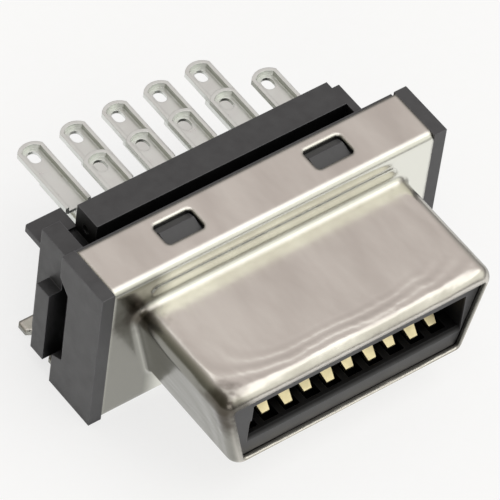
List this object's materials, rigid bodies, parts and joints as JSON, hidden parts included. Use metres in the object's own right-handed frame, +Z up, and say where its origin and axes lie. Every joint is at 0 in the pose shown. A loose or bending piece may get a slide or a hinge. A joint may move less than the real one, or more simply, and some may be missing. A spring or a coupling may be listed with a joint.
{
  "type": "shielded receptacle connector",
  "caption": "Board and cable receptacle with a D-shaped metal hood, slotted insulator, bowed spring contacts and channel-shaped wire tails.",
  "frame": {"origin": "where the plug axis, through the middle of the hood's D opening, crosses the flange's front face", "axes": "+X along the contact rows, +Y away from the plug towards the wire tails, +Z up towards the wide side of the D"},
  "size_m": [0.0206, 0.0194, 0.0094],
  "materials": {
    "shell_metal": "bright nickel plate on a drawn and folded sheet",
    "insulator_plastic": "black glass-filled moulding, satin",
    "holder_plastic": "black glass-filled moulding, satin",
    "contact_metal": "copper-alloy strip, gold-plated at the spring end and tin-plated on the tails"
  },
  "bodies": {
    "root": {"shell": "shell_metal", "insulator": "insulator_plastic", "rear_holder": "holder_plastic", "upper_contact_1": "contact_metal", "upper_contact_2": "contact_metal", "upper_contact_3": "contact_metal", "upper_contact_4": "contact_metal", "upper_contact_5": "contact_metal", "upper_contact_6": "contact_metal", "upper_contact_7": "contact_metal", "upper_contact_8": "contact_metal", "upper_contact_9": "contact_metal", "upper_contact_10": "contact_metal", "lower_contact_1": "contact_metal", "lower_contact_2": "contact_metal", "lower_contact_3": "contact_metal", "lower_contact_4": "contact_metal", "lower_contact_5": "contact_metal", "lower_contact_6": "contact_metal", "lower_contact_7": "contact_metal", "lower_contact_8": "contact_metal", "lower_contact_9": "contact_metal", "lower_contact_10": "contact_metal"}
  },
  "joints": []
}
